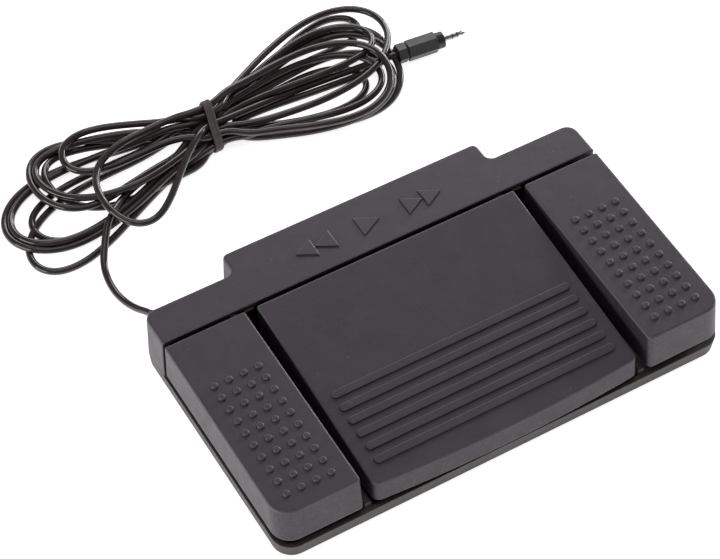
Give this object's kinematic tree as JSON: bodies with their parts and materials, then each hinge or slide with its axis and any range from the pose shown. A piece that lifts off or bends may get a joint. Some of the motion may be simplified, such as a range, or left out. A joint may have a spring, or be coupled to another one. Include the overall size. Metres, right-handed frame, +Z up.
{
  "type": "three-pedal foot controller",
  "caption": "Low wedge-shaped foot control for a dictation machine: sprung rocking pedals across the front, a flat rear housing and a tied cord with a small jack plug.",
  "frame": {"origin": "on the floor, midway between the ends, below the pedals' rear edge and just ahead of the hinge shaft", "axes": "+X to the right-hand pedal, +Y to the back where the cord leaves, +Z up"},
  "size_m": [0.2189, 0.2344, 0.0286],
  "materials": {
    "charcoal_plastic": "fine-textured charcoal moulding",
    "base_plastic": "brownish grey moulding",
    "steel": "bright zinc-plated steel",
    "spring_steel": "spring steel wire",
    "foot_rubber": "moulded rubber",
    "switch_plastic": "black switch body",
    "plunger_plastic": "red switch plunger",
    "board": "phenolic board",
    "cord_jacket": "satin black PVC jacket",
    "tie_rubber": "dark grey rubber band",
    "plug_plastic": "satin black plug moulding",
    "collar_plastic": "black collar and insulating bands",
    "plated_contact": "nickel-plated contact",
    "clamp_nylon": "natural nylon",
    "wire": "insulated cores"
  },
  "bodies": {
    "chassis": {"base_tray": "base_plastic", "ballast_plate": "steel", "rubber_feet": "foot_rubber", "rear_housing": "charcoal_plastic", "hinge_shaft": "steel", "shaft_clips": "spring_steel", "left_return_spring": "spring_steel", "right_return_spring": "spring_steel", "centre_return_springs": "spring_steel", "left_switch": "switch_plastic", "centre_switch": "switch_plastic", "right_switch": "switch_plastic", "rubber_bumpers": "foot_rubber", "circuit_board": "board", "board_screws": "steel", "housing_screws": "steel", "clamp_screws": "steel", "cable_clamp": "clamp_nylon", "strain_relief": "cord_jacket", "inner_lead": "cord_jacket", "lead_wires": "wire", "cord": "cord_jacket", "cord_hank": "cord_jacket", "cord_tie": "tie_rubber", "plug_cap": "plug_plastic", "plug_body": "plug_plastic", "plug_collar": "collar_plastic", "plug_sleeve": "plated_contact", "plug_ring": "plated_contact", "plug_tip": "plated_contact", "plug_insulators": "collar_plastic"},
    "left_pedal": {"left_pedal": "charcoal_plastic"},
    "left_plunger": {"left_switch_plunger": "plunger_plastic"},
    "centre_pedal": {"centre_pedal": "charcoal_plastic"},
    "centre_plunger": {"centre_switch_plunger": "plunger_plastic"},
    "right_pedal": {"right_pedal": "charcoal_plastic"},
    "right_plunger": {"right_switch_plunger": "plunger_plastic"}
  },
  "joints": [
    {"name": "left_pedal_hinge", "type": "hinge", "parent": "chassis", "child": "left_pedal", "pos_m": [-0.0799, 0.0085, 0.016], "axis": [1, 0, 0], "range_deg": [0, 1.75], "stiffness_Nm_per_rad": 6.55, "springref_deg": -2.18, "deforming": ["left_return_spring"]},
    {"name": "centre_pedal_hinge", "type": "hinge", "parent": "chassis", "child": "centre_pedal", "pos_m": [0, 0.0085, 0.016], "axis": [1, 0, 0], "range_deg": [0, 1.29], "stiffness_Nm_per_rad": 6.55, "springref_deg": -2.18, "deforming": ["centre_return_springs"]},
    {"name": "right_pedal_hinge", "type": "hinge", "parent": "chassis", "child": "right_pedal", "pos_m": [0.0799, 0.0085, 0.016], "axis": [1, 0, 0], "range_deg": [0, 1.75], "stiffness_Nm_per_rad": 6.55, "springref_deg": -2.18, "deforming": ["right_return_spring"]},
    {"name": "left_plunger_slide", "type": "slide", "parent": "chassis", "child": "left_plunger", "axis": [0, 0, 1], "range_m": [-0.00065, 0]},
    {"name": "centre_plunger_slide", "type": "slide", "parent": "chassis", "child": "centre_plunger", "axis": [0, 0, 1], "range_m": [-0.00048, 0]},
    {"name": "right_plunger_slide", "type": "slide", "parent": "chassis", "child": "right_plunger", "axis": [0, 0, 1], "range_m": [-0.00065, 0]}
  ],
  "couplings": [
    {"joint": "left_plunger_slide", "follows": "left_pedal_hinge", "m_per_rad": -0.0205},
    {"joint": "centre_plunger_slide", "follows": "centre_pedal_hinge", "m_per_rad": -0.0205},
    {"joint": "right_plunger_slide", "follows": "right_pedal_hinge", "m_per_rad": -0.0205}
  ]
}
